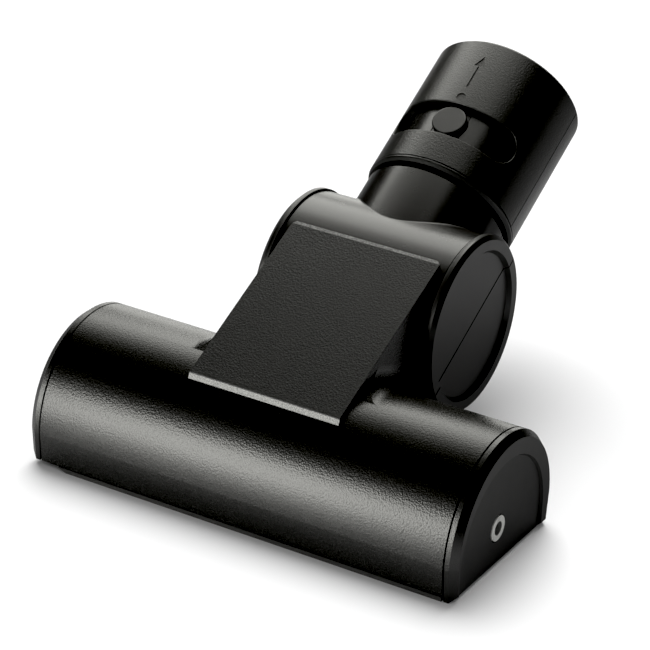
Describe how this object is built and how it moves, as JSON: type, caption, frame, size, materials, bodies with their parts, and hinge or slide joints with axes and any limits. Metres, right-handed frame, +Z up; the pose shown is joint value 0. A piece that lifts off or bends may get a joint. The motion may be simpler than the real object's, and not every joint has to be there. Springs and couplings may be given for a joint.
{
  "type": "vacuum turbo brush",
  "caption": "Air-driven floor brush: arched head with a brush roll, drum elbow that tilts, swivelling cuff with a release button and a tube socket.",
  "frame": {"origin": "centre of the head's underside, on the floor plane", "axes": "+X along the brush roll towards the higher end cap, -Y to the front edge, +Z up"},
  "size_m": [0.16, 0.189, 0.1163],
  "materials": {
    "housing_plastic": "satin, finely speckled black moulding",
    "cap_plastic": "matt black moulding",
    "elbow_plastic": "satin black moulding",
    "cuff_plastic": "grained black moulding",
    "button_plastic": "satin black moulding",
    "drive_plastic": "natural light moulding",
    "roll_plastic": "dark grey moulding",
    "bristle": "stiff nylon tufts",
    "bearing_bronze": "sintered bronze",
    "steel": "turned steel",
    "screw_steel": "zinc-plated steel",
    "belt_rubber": "matt black toothed belt",
    "felt": "grey felt"
  },
  "bodies": {
    "head": {"upper_housing": "housing_plastic", "lower_housing": "housing_plastic", "sole_plate": "housing_plastic", "housing_screws": "screw_steel", "sole_screws": "screw_steel", "left_end_cap": "cap_plastic", "right_end_cap": "cap_plastic", "roll_axle": "steel", "drive_belt": "belt_rubber", "bearing_left": "bearing_bronze", "bearing_right": "bearing_bronze", "carrier_left": "drive_plastic", "carrier_right": "drive_plastic", "carrier_screws": "screw_steel"},
    "roll": {"brush_core": "roll_plastic", "bristle_tufts_a": "bristle", "bristle_tufts_b": "bristle", "roll_pulley": "drive_plastic", "roll_bush_left": "bearing_bronze", "roll_bush_right": "bearing_bronze"},
    "turbine": {"turbine_wheel": "drive_plastic", "turbine_shaft": "steel", "drive_pinion": "drive_plastic"},
    "elbow": {"elbow_upper_shell": "elbow_plastic", "elbow_lower_shell": "elbow_plastic", "elbow_screws": "screw_steel"},
    "latch": {"release_button": "button_plastic"},
    "cuff": {"cuff_upper_cover": "cuff_plastic", "cuff_lower_cover": "cuff_plastic", "socket_tube": "cuff_plastic", "felt_ring": "felt"}
  },
  "joints": [
    {"name": "elbow_tilt", "type": "hinge", "parent": "head", "child": "elbow", "pos_m": [-0.0005, 0.0617, 0.0449], "axis": [1, 0, 0], "range_deg": [-30, 15]},
    {"name": "cuff_swivel", "type": "hinge", "parent": "elbow", "child": "cuff", "pos_m": [-0.0005, 0.11286, 0.07528], "axis": [0, 0.8599, 0.5105], "range_deg": [-42, 42]},
    {"name": "latch_press", "type": "hinge", "parent": "elbow", "child": "latch", "pos_m": [-0.0005, 0.08872, 0.08676], "axis": [1, 0, 0], "range_deg": [-7, 0], "stiffness_Nm_per_rad": 0.2, "springref_deg": 2.29},
    {"name": "roll_spin", "type": "hinge", "parent": "head", "child": "roll", "pos_m": [0, -0.0036, 0.014], "axis": [1, 0, 0], "continuous": true, "deforming": ["drive_belt"]},
    {"name": "turbine_spin", "type": "hinge", "parent": "head", "child": "turbine", "pos_m": [-0.0005, 0.0617, 0.0449], "axis": [1, 0, 0], "continuous": true}
  ],
  "couplings": [
    {"joint": "turbine_spin", "follows": "roll_spin", "ratio": 2}
  ]
}
